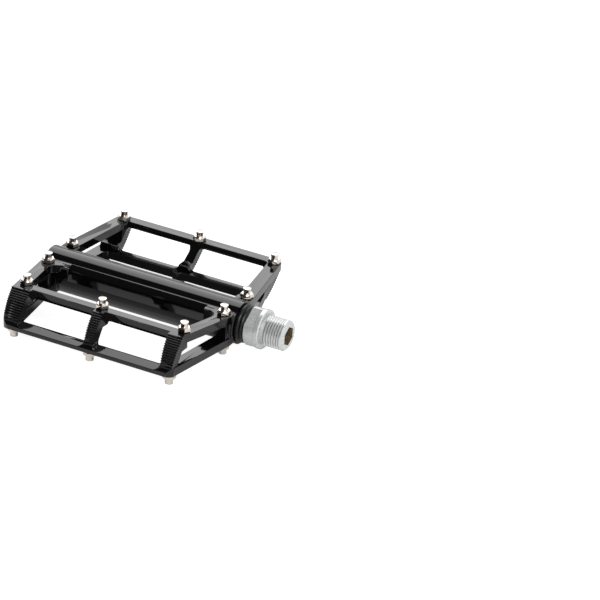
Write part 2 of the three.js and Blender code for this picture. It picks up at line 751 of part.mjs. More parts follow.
function inboardSeal() {
  const bore = journalRadius + runningClearance;
  const rimEnd = inboardEnd + sealRimWidth;
  const waistEnd = rimEnd + sealWaistWidth;
  const lipEnd = waistEnd + sealLipWidth;
  return geometryOf(solidOf(turned(closed([
    [sealFace, bore],
    [sealFace, sealPlugRadius],
    [inboardEnd, sealPlugRadius],
    [inboardEnd, sealRimRadius],
    [rimEnd, sealRimRadius],
    [rimEnd, sealRimRadius - sealWaistSink],
    [waistEnd, sealRimRadius - sealWaistSink],
    [waistEnd, sealRimRadius - sealLipSink],
    [lipEnd, sealRimRadius - sealLipSink],
    [wrenchStart - faceGap, sealRimRadius - sealMouthSink],
    [wrenchStart - faceGap, bore],
  ]))));
}

const bearingMiddle = (bearingFace + bearingBack) / 2;

// A race is a plain ring with a round track turned into the surface that faces the balls
function race(bore, radius, trackInBore) {
  const surface = trackInBore ? bore : radius;
  const inward = Math.sign(surface - ballCircle);
  const half = Math.acos(Math.abs(surface - ballCircle) / trackRadius);
  const track = Array.from({ length: trackSteps + 1 }, (_, step) => {
    const angle = half * ((2 * step) / trackSteps - 1);
    return [
      bearingMiddle + trackRadius * Math.sin(angle),
      ballCircle + inward * trackRadius * Math.cos(angle),
    ];
  });
  const outline = trackInBore
    ? [[bearingBack, radius], [bearingFace, radius], [bearingFace, bore], ...track, [bearingBack, bore]]
    : [[bearingBack, bore], [bearingFace, bore], [bearingFace, radius], ...track, [bearingBack, radius]];
  return geometryOf(solidOf(turned(closed(outline))));
}

const ballAngles = Array.from({ length: ballCount }, (_, i) => (i / ballCount) * 2 * Math.PI);

function bearingCage() {
  let ring = solidOf(turned(closed([
    [bearingMiddle - cageWidth / 2, ballCircle - cageThickness / 2],
    [bearingMiddle - cageWidth / 2, ballCircle + cageThickness / 2],
    [bearingMiddle + cageWidth / 2, ballCircle + cageThickness / 2],
    [bearingMiddle + cageWidth / 2, ballCircle - cageThickness / 2],
  ])));
  ballAngles.forEach((angle) => {
    const pocket = new THREE.CylinderGeometry(trackRadius, trackRadius, cageThickness * 2, ballSides)
      .translate(bearingMiddle, ballCircle, 0)
      .rotateX(angle);
    ring = ring.subtract(solidOf(pocket));
  });
  return geometryOf(ring);
}

function bearingShield(face) {
  return geometryOf(solidOf(turned(closed([
    [face, innerRaceRadius + runningClearance],
    [face, outerRaceBore - seatClearance],
    [face + shieldWidth, outerRaceBore - seatClearance],
    [face + shieldWidth, innerRaceRadius + runningClearance],
  ]))));
}

function washer() {
  const bore = nutThreadRadius + seatClearance;
  return geometryOf(solidOf(turned(closed([
    [washerFace, bore],
    [washerFace, washerRadius],
    [bearingFace, washerRadius],
    [bearingFace, bore],
  ]))));
}

function lockNut() {
  const bore = turned([
    [nutFace - overrun, 0],
    [nutFace - overrun, nutThreadRadius + seatClearance],
    [washerFace + overrun, nutThreadRadius + seatClearance],
    [washerFace + overrun, 0],
  ]);
  return geometryOf(solidOf(hexagonRod(nutFlats, nutFace, washerFace)).subtract(solidOf(bore)));
}

const capGrooveMiddle = outboardEnd + capRimWidth + capPlugLength / 2;

function endCap() {
  const grooveStart = capGrooveMiddle - capGrooveWidth / 2;
  const grooveEnd = capGrooveMiddle + capGrooveWidth / 2;
  const cap = solidOf(turned([
    [outboardEnd, 0],
    [outboardEnd, capRadius],
    [outboardEnd + capRimWidth, capRadius],
    [outboardEnd + capRimWidth, capPlugRadius],
    [grooveStart, capPlugRadius],
    [grooveStart, capPlugRadius - capGrooveDepth],
    [grooveEnd, capPlugRadius - capGrooveDepth],
    [grooveEnd, capPlugRadius],
    [capSeat, capPlugRadius],
    [capSeat, 0],
  ]));
  const socket = hexagonRod(capSocketFlats, outboardEnd - overrun, outboardEnd + capSocketDepth);
  return geometryOf(cap.subtract(solidOf(socket)));
}

function endCapRing() {
  const grooveFloor = capPlugRadius - capGrooveDepth;
  const ringRadius = grooveFloor + seatClearance + ringThickness / 2;
  const ring = new THREE.TorusGeometry(ringRadius, ringThickness / 2, ringSides, boreSides)
    .rotateY(Math.PI / 2)
    .translate(capGrooveMiddle, 0, 0);
  return geometryOf(solidOf(ring));
}

// The finished pedal
const materialOf = (finish) => new THREE.MeshStandardMaterial({ ...finishes[finish] });

function place(group, name, geometry, finish) {
  const mesh = new THREE.Mesh(geometry, materialOf(finish));
  mesh.name = name;
  group.add(mesh);
  return mesh;
}

const pedal = new THREE.Group();
const turningBody = new THREE.Group();
const ballTrain = new THREE.Group();
const spindleGroup = new THREE.Group();
pedal.add(turningBody, ballTrain, spindleGroup);

place(turningBody, 'pedal_frame', pedalFrame(), 'anodised');
place(turningBody, 'plain_bushing', plainBushing(), 'bronze');
place(turningBody, 'inboard_seal', inboardSeal(), 'rubber');
place(turningBody, 'bearing_outer_race', race(outerRaceBore, bearingRadius, true), 'bearingSteel');
place(turningBody, 'bearing_shield_outboard', bearingShield(bearingFace), 'rubber');
place(turningBody, 'bearing_shield_inboard', bearingShield(bearingBack - shieldWidth), 'rubber');
place(turningBody, 'end_cap', endCap(), 'anodised');
place(turningBody, 'end_cap_o_ring', endCapRing(), 'rubber');

const pinGeometry = tractionPin();
const opposite = { front: 'rear', rear: 'front' };
Object.entries(pinPlaces).forEach(([where, { x, y }]) => {
  place(turningBody, `pin_top_${where}`, pinGeometry.clone(), 'nickel').position.set(x, y, 0);
  const below = where.replace(/front|rear/, (word) => opposite[word]);
  const lower = place(turningBody, `pin_bottom_${below}`, pinGeometry.clone(), 'nickel');
  lower.rotation.x = Math.PI;
  lower.position.set(x, -y, 0);
});

place(ballTrain, 'bearing_cage', bearingCage(), 'nylon');
ballAngles.forEach((angle, i) => {
  const sphere = new THREE.SphereGeometry(ballRadius, ballSides, ballSides / 2);
  const ball = place(ballTrain, `bearing_ball_${i + 1}`, geometryOf(solidOf(sphere)), 'bearingSteel');
  ball.position.set(bearingMiddle, ballCircle * Math.cos(angle), ballCircle * Math.sin(angle));
});

place(spindleGroup, 'spindle', spindle(), 'zinc');
const innerRace = race(bearingJournalRadius + seatClearance, innerRaceRadius, false);
place(spindleGroup, 'bearing_inner_race', innerRace, 'bearingSteel');
place(spindleGroup, 'washer', washer(), 'blackSteel');
place(spindleGroup, 'lock_nut', lockNut(), 'blackSteel');
spindleGroup.rotation.x = THREE.MathUtils.degToRad(flatTurn);

export default pedal;
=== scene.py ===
# %% [markdown]
# # A flat bicycle pedal for the left crank
# The pedal was packed from CAD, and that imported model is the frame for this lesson. Every piece
# made here sits in the CAD model's place, in metres, and rides on one of its bodies. +X runs along
# the spindle towards the crank, +Y towards the rear row of the upper tread, +Z up.

# %% Load the frame
import json
import math

import bmesh
import bpy
from mathutils import Matrix, Vector

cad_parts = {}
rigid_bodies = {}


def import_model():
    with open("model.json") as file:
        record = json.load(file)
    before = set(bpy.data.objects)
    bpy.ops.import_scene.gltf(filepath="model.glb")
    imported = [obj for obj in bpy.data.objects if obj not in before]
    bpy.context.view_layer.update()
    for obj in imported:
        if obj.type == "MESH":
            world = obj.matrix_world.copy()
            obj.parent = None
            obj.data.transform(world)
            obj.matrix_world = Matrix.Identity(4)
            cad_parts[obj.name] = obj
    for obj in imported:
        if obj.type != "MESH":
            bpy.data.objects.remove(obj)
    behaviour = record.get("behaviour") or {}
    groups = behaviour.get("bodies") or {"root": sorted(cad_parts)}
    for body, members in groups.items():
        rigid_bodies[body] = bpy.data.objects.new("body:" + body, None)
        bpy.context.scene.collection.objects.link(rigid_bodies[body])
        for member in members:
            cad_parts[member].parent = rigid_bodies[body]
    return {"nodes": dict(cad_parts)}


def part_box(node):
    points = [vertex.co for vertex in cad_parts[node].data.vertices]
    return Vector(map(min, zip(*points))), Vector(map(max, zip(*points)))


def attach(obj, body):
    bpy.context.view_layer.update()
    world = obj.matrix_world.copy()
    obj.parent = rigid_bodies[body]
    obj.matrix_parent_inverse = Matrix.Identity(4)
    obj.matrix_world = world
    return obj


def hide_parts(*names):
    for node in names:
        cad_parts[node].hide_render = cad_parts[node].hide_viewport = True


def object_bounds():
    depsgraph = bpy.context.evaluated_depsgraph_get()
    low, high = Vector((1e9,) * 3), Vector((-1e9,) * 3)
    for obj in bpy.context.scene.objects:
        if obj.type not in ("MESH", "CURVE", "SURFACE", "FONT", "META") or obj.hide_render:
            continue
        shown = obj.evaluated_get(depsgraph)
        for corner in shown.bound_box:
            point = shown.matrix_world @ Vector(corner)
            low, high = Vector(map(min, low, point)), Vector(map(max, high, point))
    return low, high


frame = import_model()
cad_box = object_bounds()
mm = 0.001

# %% [markdown]
# ## Finishes
# A finish is one Principled shader. What is the same all over the surface is typed into the
# shader's own sockets. What varies, such as faint haze in the polish, comes from noise on Object
# coordinates, so it stays on the piece when the piece moves.

# %% A new finish, and the nodes that feed its sockets
def new_finish(name, colour, roughness, metallic=0.0, ior=1.5):
    finish = bpy.data.materials.new(name)
    finish.use_nodes = True
    shader = finish.node_tree.nodes["Principled BSDF"]
    shader.inputs["Base Color"].default_value = (*colour, 1)
    shader.inputs["Roughness"].default_value = roughness
    shader.inputs["Metallic"].default_value = metallic
    shader.inputs["IOR"].default_value = ior
    return finish


def add_node(owner, kind, **settings):
    """Adds a node to a finish or to the world."""
    node = owner.node_tree.nodes.new(kind)
    for setting, value in settings.items():
        setattr(node, setting, value)
    return node


def feed(owner, socket, value):
    """Links another node's output to a socket, or types a number or a colour into it."""
    if isinstance(value, bpy.types.NodeSocket):
        owner.node_tree.links.new(value, socket)
    else:
        socket.default_value = value


def ramp(owner, value, start, end, low=0.0, high=1.0):
    """Goes from low to high while value goes from start to end, and stays level outside."""
    node = add_node(owner, "ShaderNodeMapRange")
    sockets = ("Value", "From Min", "From Max", "To Min", "To Max")
    for socket, given in zip(sockets, (value, start, end, low, high)):
        feed(owner, node.inputs[socket], given)
    return node.outputs["Result"]


def mixed(owner, share, first, second):
    """The first colour where share is 0, the second where it is 1."""
    node = add_node(owner, "ShaderNodeMix", data_type="RGBA")
    for socket, given in (("Factor", share), ("A", first), ("B", second)):
        feed(owner, node.inputs[socket], given)
    return node.outputs["Result"]


# %% Noise that varies a socket
def noise(finish, grain, stretch=(1, 1, 1), detail=3.0):
    """Noise with features about as large as grain, in metres."""
    places = add_node(finish, "ShaderNodeTexCoord")
    mapping = add_node(finish, "ShaderNodeMapping")
    feed(finish, mapping.inputs["Scale"], stretch)
    feed(finish, mapping.inputs["Vector"], places.outputs["Object"])
    pattern = add_node(finish, "ShaderNodeTexNoise")
    feed(finish, pattern.inputs["Scale"], 1 / grain)
    feed(finish, pattern.inputs["Detail"], detail)
    feed(finish, pattern.inputs["Vector"], mapping.outputs["Vector"])
    return pattern.outputs["Fac"]


def spread(finish, source, low, high):
    """A value between low and high, from a noise that mostly runs from 0.3 to 0.7."""
    return ramp(finish, source, 0.3, 0.7, low, high)


def vary_roughness(finish, source, low, high):
    shader = finish.node_tree.nodes["Principled BSDF"]
    feed(finish, shader.inputs["Roughness"], spread(finish, source, low, high))


def vary_colour(finish, source, dark, light):
    shader = finish.node_tree.nodes["Principled BSDF"]
    colour = mixed(finish, spread(finish, source, 0, 1), (*dark, 1), (*light, 1))
    feed(finish, shader.inputs["Base Color"], colour)


def add_bump(finish, source, height):
    shader = finish.node_tree.nodes["Principled BSDF"]
    bump = add_node(finish, "ShaderNodeBump")
    feed(finish, bump.inputs["Distance"], height)
    feed(finish, bump.inputs["Height"], source)
    feed(finish, shader.inputs["Normal"], bump.outputs["Normal"])


# %% [markdown]
# ### Glossy black anodising
# The body is aluminium, milled, polished and dyed black. The clear oxide over the dye reflects like
# varnish, so the shader is a black dielectric and not a metal. Its polish is nearly a mirror, with
# a little haze. The cap at the far end is turned, so it is duller and has faint turning lines.

# %% Anodised finishes
anodised = new_finish("anodised_black", (0.002, 0.002, 0.002), 0.06)
vary_roughness(anodised, noise(anodised, 6 * mm), 0.04, 0.08)
vary_colour(anodised, noise(anodised, 3 * mm), (0.0015, 0.0015, 0.0018), (0.003, 0.0026, 0.0028))
add_bump(anodised, noise(anodised, 0.4 * mm, detail=2), 0.001 * mm)

cap_anodised = new_finish("cap_anodised_black", (0.003, 0.003, 0.003), 0.2)
vary_roughness(cap_anodised, noise(cap_anodised, 2 * mm), 0.14, 0.26)
add_bump(cap_anodised, noise(cap_anodised, 0.25 * mm, (0.2, 1, 1)), 0.002 * mm)
print("anodised finishes", anodised.name, cap_anodised.name)

# %% [markdown]
# ### Bright nickel, satin zinc and the steels
# The pins are nickel plated and nearly mirrors. The spindle is satin: its plating scatters light,
# and fine turning lines run round it, so its noise is drawn out round the spindle. Painted shade
# darkens the roots of its thread: the finish there reads how far a place is from the spindle's
# axis.

# %% Nickel for the pins, zinc for the spindle
nickel = new_finish("bright_nickel", (0.76, 0.7, 0.64), 0.08, metallic=1)
vary_roughness(nickel, noise(nickel, 0.8 * mm), 0.05, 0.12)
vary_colour(nickel, noise(nickel, 1.5 * mm), (0.72, 0.65, 0.59), (0.8, 0.75, 0.7))

zinc = new_finish("satin_zinc", (0.66, 0.68, 0.67), 0.3, metallic=0.5)
vary_roughness(zinc, noise(zinc, 0.12 * mm, (1, 0.15, 0.15)), 0.24, 0.36)
vary_colour(zinc, noise(zinc, 1.5 * mm), (0.62, 0.64, 0.635), (0.71, 0.73, 0.72))
add_bump(zinc, noise(zinc, 0.15 * mm, (1, 0.1, 0.1)), 0.004 * mm)
print("plated finishes", nickel.name, zinc.name)


# %% Zinc with painted shade in the thread's roots
def distance_from_axis(finish):
    """How far a place on the piece is from its X axis, in metres."""
    places = add_node(finish, "ShaderNodeTexCoord")
    flat = add_node(finish, "ShaderNodeVectorMath", operation="MULTIPLY")
    feed(finish, flat.inputs[0], places.outputs["Object"])
    feed(finish, flat.inputs[1], (0, 1, 1))
    length = add_node(finish, "ShaderNodeVectorMath", operation="LENGTH")
    feed(finish, length.inputs[0], flat.outputs["Vector"])
    return length.outputs["Value"]


# Painted shade: the thread's colour turns dark towards its roots, inside this radius from the axis.
shaded_root_radius = 6.47 * mm
unshaded_root_radius = 6.6 * mm
root_shade_colour = (0.24, 0.245, 0.24, 1)
thread_zinc = new_finish("zinc_thread", (0.75, 0.77, 0.76), 0.25, metallic=0.6)
vary_colour(thread_zinc, noise(thread_zinc, 1.5 * mm), (0.68, 0.7, 0.69), (0.82, 0.84, 0.83))
thread_colour = thread_zinc.node_tree.nodes["Principled BSDF"].inputs["Base Color"]
unshaded_colour = thread_colour.links[0].from_socket
unshaded_share = ramp(thread_zinc, distance_from_axis(thread_zinc), shaded_root_radius, unshaded_root_radius)
feed(thread_zinc, thread_colour, mixed(thread_zinc, unshaded_share, root_shade_colour, unshaded_colour))
print("thread finish", thread_zinc.name, "nodes", len(thread_zinc.node_tree.nodes))

# %% Oiled socket, steels and bronze
socket_oil = new_finish("oiled_socket", (0.5, 0.41, 0.28), 0.4, metallic=1)
vary_colour(socket_oil, noise(socket_oil, 1.2 * mm), (0.38, 0.31, 0.21), (0.62, 0.52, 0.36))
vary_roughness(socket_oil, noise(socket_oil, 0.6 * mm), 0.3, 0.5)

ground_steel = new_finish("ground_steel", (0.6, 0.61, 0.63), 0.2, metallic=1)
vary_roughness(ground_steel, noise(ground_steel, 0.2 * mm, (1, 0.2, 0.2)), 0.14, 0.28)

oxide_steel = new_finish("black_oxide_steel", (0.06, 0.06, 0.065), 0.42, metallic=1)
vary_roughness(oxide_steel, noise(oxide_steel, 0.5 * mm), 0.34, 0.5)
vary_colour(oxide_steel, noise(oxide_steel, 1.5 * mm), (0.045, 0.045, 0.05), (0.08, 0.078, 0.08))

bronze = new_finish("sintered_bronze", (0.42, 0.26, 0.11), 0.42, metallic=1)
vary_colour(bronze, noise(bronze, 0.3 * mm), (0.34, 0.2, 0.08), (0.5, 0.33, 0.15))
add_bump(bronze, noise(bronze, 0.12 * mm), 0.01 * mm)
print("inner metals", ground_steel.name, oxide_steel.name, bronze.name)

# %% [markdown]
# ### Rubber and nylon
# The seal is moulded rubber with a wet shine. The cage of the ball bearing is amber nylon, which
# lets a little light in.

# %% Soft finishes
seal_rubber = new_finish("seal_rubber", (0.004, 0.004, 0.0045), 0.3, ior=1.4)
vary_roughness(seal_rubber, noise(seal_rubber, 1.5 * mm), 0.22, 0.42)
add_bump(seal_rubber, noise(seal_rubber, 2.5 * mm), 0.12 * mm)

ring_rubber = new_finish("ring_rubber", (0.015, 0.015, 0.016), 0.4)
add_bump(ring_rubber, noise(ring_rubber, 0.2 * mm), 0.006 * mm)

nylon = new_finish("amber_nylon", (0.55, 0.36, 0.15), 0.45)
nylon_shader = nylon.node_tree.nodes["Principled BSDF"]
feed(nylon, nylon_shader.inputs["Subsurface Weight"], 0.15)
feed(nylon, nylon_shader.inputs["Subsurface Scale"], 0.5 * mm)
vary_roughness(nylon, noise(nylon, 0.4 * mm), 0.38, 0.55)
print("finishes", len(bpy.data.materials))

# %% [markdown]
# ## Making pieces
# A finished piece keeps its object at the origin and its place in its mesh, as the CAD nodes do.
# One helper turns a bmesh into such a piece, with smooth shading that stays crisp at sharp edges.

# %% From bmesh to a piece that rides on a body
def finished_piece(name, shape, body, replaced, finishes, sharp_degrees=30):
    mesh = bpy.data.meshes.new(name)
    shape.to_mesh(mesh)
    shape.free()
    for finish in finishes:
        mesh.materials.append(finish)
    mesh.shade_smooth()
    mesh.set_sharp_from_angle(angle=math.radians(sharp_degrees))
    piece = bpy.data.objects.new(name, mesh)
    bpy.context.scene.collection.objects.link(piece)
    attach(piece, body)
    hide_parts(*replaced)
    return piece


def open_edges(shape):
    return sum(1 for edge in shape.edges if len(edge.link_faces) != 2)


# %% [markdown]
# ## The milled body
# The CAD body already has the right form, with edges as sharp as a drawing. The work starts on a
# merged copy of its mesh: its triangles are joined into the flat faces that they make up, so the
# exact Boolean and the bevel operator meet real faces and real edges.

# %% A merged copy of a CAD node
same_place = 0.002 * mm
same_plane = math.radians(0.4)


def merged_copy(node):
    shape = bmesh.new()
    shape.from_mesh(frame["nodes"][node].data)
    bmesh.ops.remove_doubles(shape, verts=shape.verts, dist=same_place)
    bmesh.ops.dissolve_degenerate(shape, edges=shape.edges, dist=same_place)
    bmesh.ops.dissolve_limit(
        shape, angle_limit=same_plane, verts=shape.verts, edges=shape.edges
    )
    return shape


body_shape = merged_copy("pedal_frame")
print("body: faces", len(body_shape.faces), "open edges", open_edges(body_shape))


# %% Join and cut solids with the exact Boolean
def as_object(name, shape):
    mesh = bpy.data.meshes.new(name)
    shape.to_mesh(mesh)
    shape.free()
    helper = bpy.data.objects.new(name, mesh)
    bpy.context.scene.collection.objects.link(helper)
    return helper


def combine(shape, tool, operation):
    """Applies one exact Boolean and gives the result as a bmesh."""
    base = as_object("boolean_base", shape)
    cutter = as_object("boolean_cutter", tool)
    modifier = base.modifiers.new("cut", "BOOLEAN")
    modifier.operation = operation
    modifier.solver = "EXACT"
    modifier.object = cutter
    evaluated = base.evaluated_get(bpy.context.evaluated_depsgraph_get())
    result = bmesh.new()
    result.from_mesh(evaluated.to_mesh())
    evaluated.to_mesh_clear()
    for helper in (base, cutter):
        mesh = helper.data
        bpy.data.objects.remove(helper)
        bpy.data.meshes.remove(mesh)
    return result


# %% [markdown]
# The CAD ledge along the barrel is square. The photographed one slopes down from the crown, keeps
# its fine groove, and leans in at its wall, so the studio's dark side shows in it. One cutter for
# the upper face, and its half-turned copy for the lower face, take that slope off the merged copy.

# %% Slope the ledge: the cutter's section is a loop of (y, z) pairs
half_turn = Matrix.Rotation(math.pi, 4, "X")
ledge_start = -47 * mm
ledge_end = 23.7 * mm
ledge_cut = [
    (-6.7 * mm, 7.46 * mm), (-6.7 * mm, 9 * mm), (-12 * mm, 9 * mm), (-12 * mm, 0.6 * mm),
    (-10.45 * mm, 0.6 * mm), (-9.4 * mm, 5 * mm), (-9.05 * mm, 5.95 * mm), (-8.6 * mm, 6.57 * mm),
    (-8.55 * mm, 6.2 * mm), (-8.05 * mm, 6.45 * mm), (-8 * mm, 6.85 * mm),
]
for turned in (False, True):
    cutter = bmesh.new()
    section = cutter.faces.new([cutter.verts.new((ledge_start, y, z)) for y, z in ledge_cut])
    grown = bmesh.ops.extrude_face_region(cutter, geom=[section])["geom"]
    moved = [part for part in grown if isinstance(part, bmesh.types.BMVert)]
    bmesh.ops.translate(cutter, verts=moved, vec=(ledge_end - ledge_start, 0, 0))
    if turned:
        bmesh.ops.transform(cutter, verts=cutter.verts, matrix=half_turn)
    bmesh.ops.recalc_face_normals(cutter, faces=cutter.faces)
    volume = round(cutter.calc_volume() / mm ** 3)
    print("ledge cutter: open edges", open_edges(cutter), "cubic mm", volume)
    body_shape = combine(body_shape, cutter, "DIFFERENCE")
bmesh.ops.remove_doubles(body_shape, verts=body_shape.verts, dist=same_place / 2)
print("sloped: faces", len(body_shape.faces), "open edges", open_edges(body_shape))


# %% [markdown]
# A real body is tumbled after milling, so each edge has a small round that catches the light.
# Narrow rounds run along the wide faces of rails and plates. The ribs on the posts get wider ones
# along their upper edges, and those make the bright lines that the photograph shows.

# %% Choose edges by the width of the faces beside them
least_bend = 35
least_slant = 0.3


def narrowest_side(edge):
    """The width of the narrower face beside an edge."""
    length = edge.calc_length()
    return min(face.calc_area() for face in edge.link_faces) / length


def faces_up_the_post(face):
    """Whether a face looks up along a slanted front post, or down along a rear one."""
    side = math.copysign(1, face.calc_center_median().y)
    return face.normal.y * side < -least_slant and face.normal.z * side < -least_slant


def on_rib_top(edge):
    return any(faces_up_the_post(face) for face in edge.link_faces)


def round_edges(shape, width, least_side, most_side, least_length, segments=2, wanted=None):
    chosen = []
    for edge in shape.edges:
        if len(edge.link_faces) != 2 or edge.calc_length() < least_length:
            continue
        bend = math.degrees(edge.calc_face_angle(0))
        if bend < least_bend or not edge.is_convex or (wanted and not wanted(edge)):
            continue
        if least_side <= narrowest_side(edge) < most_side:
            chosen.append(edge)
    bmesh.ops.bevel(
        shape, geom=chosen, offset=width, offset_type="OFFSET", segments=segments,
        profile=0.5, affect="EDGES", clamp_overlap=False, material=-1,
    )
    return len(chosen)


# %% Round the edges
rail_rounds = round_edges(
    body_shape, width=0.22 * mm, least_side=1.2 * mm, most_side=math.inf, least_length=1.5 * mm
)
rib_rounds = round_edges(
    body_shape, width=0.42 * mm, least_side=0.45 * mm, most_side=0.7 * mm, least_length=2 * mm,
    segments=4, wanted=on_rib_top,
)
print("rounded", rail_rounds, "ribs", rib_rounds, "open edges", open_edges(body_shape))
bmesh.ops.dissolve_degenerate(body_shape, edges=body_shape.edges, dist=same_place)
bmesh.ops.remove_doubles(body_shape, verts=body_shape.verts, dist=same_place / 2)
print("cleaned: faces", len(body_shape.faces), "open edges", open_edges(body_shape))

# %% [markdown]
# A mirror finish shows every fault in the normals. Where a large flat face meets a narrow round,
# the normals at the shared corners would lean towards the round and bend the reflection. The
# Weighted Normal modifier lets the larger face decide, so flats reflect as planes up to their
# rounded edges.

# %% The body as a piece
body_piece = finished_piece(
    "milled_body", body_shape, "pedal_body", ["pedal_frame"], [anodised], 50
)
weighting = body_piece.modifiers.new("weighted_normals", "WEIGHTED_NORMAL")
weighting.mode = "FACE_AREA"
weighting.weight = 100
weighting.keep_sharp = True
print("milled_body", len(body_piece.data.polygons), "faces")

# %% [markdown]
# ## Turned shapes
# Pins, spindle, seal and cap are turned on a lathe. The same is done here: a profile of a few
# vertices gets its corners rounded by a vertex bevel, and the spin operator takes it round the
# axis.

# %% Spin a profile about an axis
x_axis = Vector((1, 0, 0))
z_axis = Vector((0, 0, 1))
lathe_steps = 96


def spun(profile, axis, steps, rounds=(), closed=False):
    """profile holds (place along the axis, radius) pairs; rounds holds (index, radius) pairs."""
    shape = bmesh.new()
    across = z_axis if axis.x else x_axis
    points = [shape.verts.new(axis * place + across * radius) for place, radius in profile]
    for first, second in zip(points, points[1:]):
        shape.edges.new((first, second))
    if closed:
        shape.edges.new((points[-1], points[0]))
    corners = [(points[index], radius) for index, radius in rounds]
    for point, radius in corners:
        bmesh.ops.bevel(
            shape, geom=[point], offset=radius, offset_type="OFFSET", segments=3,
            profile=0.5, affect="VERTICES", clamp_overlap=True, material=-1,
        )
    bmesh.ops.spin(
        shape, geom=shape.verts[:] + shape.edges[:], cent=(0, 0, 0), axis=axis,
        dvec=(0, 0, 0), angle=2 * math.pi, steps=steps, use_merge=True,
    )
    bmesh.ops.remove_doubles(shape, verts=shape.verts, dist=0.0005 * mm)
    bmesh.ops.recalc_face_normals(shape, faces=shape.faces)
    return shape


# %% [markdown]
# ## Traction pins
# Each pin screws in from the tread. It has a hexagonal collar for a wrench and a slightly flared,
# flat tip that bites into the shoe. The pin is spun round first, and then the collar's vertices are
# pulled in to the six flats, so its chamfer turns into the arcs that a real hexagon nut shows.

# %% A pin's profile, standing on the upper face at the origin
pin_steps = 48
face_height = 7.5 * mm
shank_foot = face_height - 3.1 * mm
shank_radius = 1.9 * mm
collar_flats = 5.4 * mm
collar_corner = collar_flats / math.sqrt(3)
collar_top = face_height + 2.1 * mm
tip_top = 12.1 * mm
pin_profile = [
    (shank_foot, 0),
    (shank_foot, shank_radius),
    (face_height, shank_radius),
    (face_height, 2.5 * mm),
    (face_height + 0.35 * mm, collar_corner),
    (collar_top - 0.4 * mm, collar_corner),
    (collar_top, 2.4 * mm),
    (collar_top, 1.8 * mm),
    (collar_top + 0.1 * mm, 1.7 * mm),
    (collar_top + 1.3 * mm, 1.7 * mm),
    (collar_top + 1.75 * mm, 1.82 * mm),
    (tip_top - 0.15 * mm, 1.86 * mm),
    (tip_top - 0.04 * mm, 1.82 * mm),
    (tip_top, 1.72 * mm),
    (tip_top, 0),
]
print("pin profile", len(pin_profile), "corners")


# %% One pin with a hexagonal collar
def pull_to_hexagon(shape, low, high, flats):
    """Moves vertices outside a hexagon rod in to its flats, between two heights."""
    sixth = math.pi / 3
    for vertex in shape.verts:
        radius = vertex.co.xy.length
        if not low <= vertex.co.z <= high or radius == 0:
            continue
        turn = math.atan2(vertex.co.y, vertex.co.x) % sixth - sixth / 2
        limit = flats / 2 / math.cos(turn)
        if radius > limit:
            vertex.co.xy *= limit / radius


def pin_shape():
    shape = spun(pin_profile, z_axis, pin_steps)
    pull_to_hexagon(shape, face_height, collar_top + 0.01 * mm, collar_flats)
    bmesh.ops.recalc_face_normals(shape, faces=shape.faces)
    return shape


one_pin = pin_shape()
print("pin: faces", len(one_pin.faces), "open edges", open_edges(one_pin))
one_pin.free()

# %% A pin in each CAD pin's place, each screwed in to another angle
turn_between_pins = 0.9
pin_nodes = sorted(name for name in frame["nodes"] if name.startswith("pin_"))
for number, node in enumerate(pin_nodes):
    low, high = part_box(node)
    shape = pin_shape()
    screwed = Matrix.Rotation(number * turn_between_pins, 3, "Z")
    bmesh.ops.rotate(shape, verts=shape.verts, cent=(0, 0, 0), matrix=screwed)
    if "bottom" in node:
        bmesh.ops.transform(shape, verts=shape.verts, matrix=half_turn)
    middle = (low + high) / 2
    bmesh.ops.translate(shape, verts=shape.verts, vec=(middle.x, middle.y, 0))
    finished_piece(
        node.replace("pin_", "traction_pin_"), shape, "pedal_body", [node], [nickel]
    )
print("pins", len(pin_nodes))

# %% [markdown]
# ## The spindle
# A forged and turned steel shaft, satin plated. Outside the body it shows two wrench flats, a
# flange that seats on the crank, a short relief, a left-hand thread and a hexagon socket. The core
# is spun, the flats and socket are cut with exact Booleans, and the thread is a ridge spun along a
# helix.

# %% Spindle core
crank_end = 61.4 * mm
flange_face = 50.3 * mm
wrench_start = 42.8 * mm
wrench_end = 47.9 * mm
thread_start = 51.5 * mm
thread_crest = 7.145 * mm
thread_root = 6.495 * mm
core_profile = [
    (-57.0 * mm, 0),
    (-57.0 * mm, 3.5 * mm),
    (-52.3 * mm, 3.5 * mm),
    (-52.3 * mm, 4 * mm),
    (-47.3 * mm, 4 * mm),
    (-47.3 * mm, 5 * mm),
    (-44.3 * mm, 5 * mm),
    (-44.3 * mm, 4.3 * mm),
    (-19.8 * mm, 4.3 * mm),
    (19.2 * mm, 6 * mm),
    (wrench_start, 6 * mm),
    (wrench_start, 8.8 * mm),
    (wrench_start + 0.2 * mm, 9 * mm),
    (wrench_end, 9 * mm),
    (wrench_end, 9.1 * mm),
    (wrench_end + 0.2 * mm, 9.3 * mm),
    (flange_face - 0.5 * mm, 9.3 * mm),
    (flange_face, 8.8 * mm),
    (flange_face, 7.4 * mm),
    (flange_face - 0.3 * mm, 6.4 * mm),
    (thread_start, 6.4 * mm),
    (thread_start + 0.2 * mm, thread_root),
    (crank_end - 1.6 * mm, thread_root),
    (crank_end - 1.5 * mm, thread_crest),
    (crank_end - 0.9 * mm, thread_crest),
    (crank_end - 0.1 * mm, 6.35 * mm),
    (crank_end, 6.2 * mm),
    (crank_end, 0),
]
spindle_shape = spun(core_profile, x_axis, lathe_steps)
print("spindle core: open edges", open_edges(spindle_shape))

# %% Thread ridge, sunk a little into the core
thread_pitch = 1.27 * mm
thread_turns = 6.6
turn_steps = 72


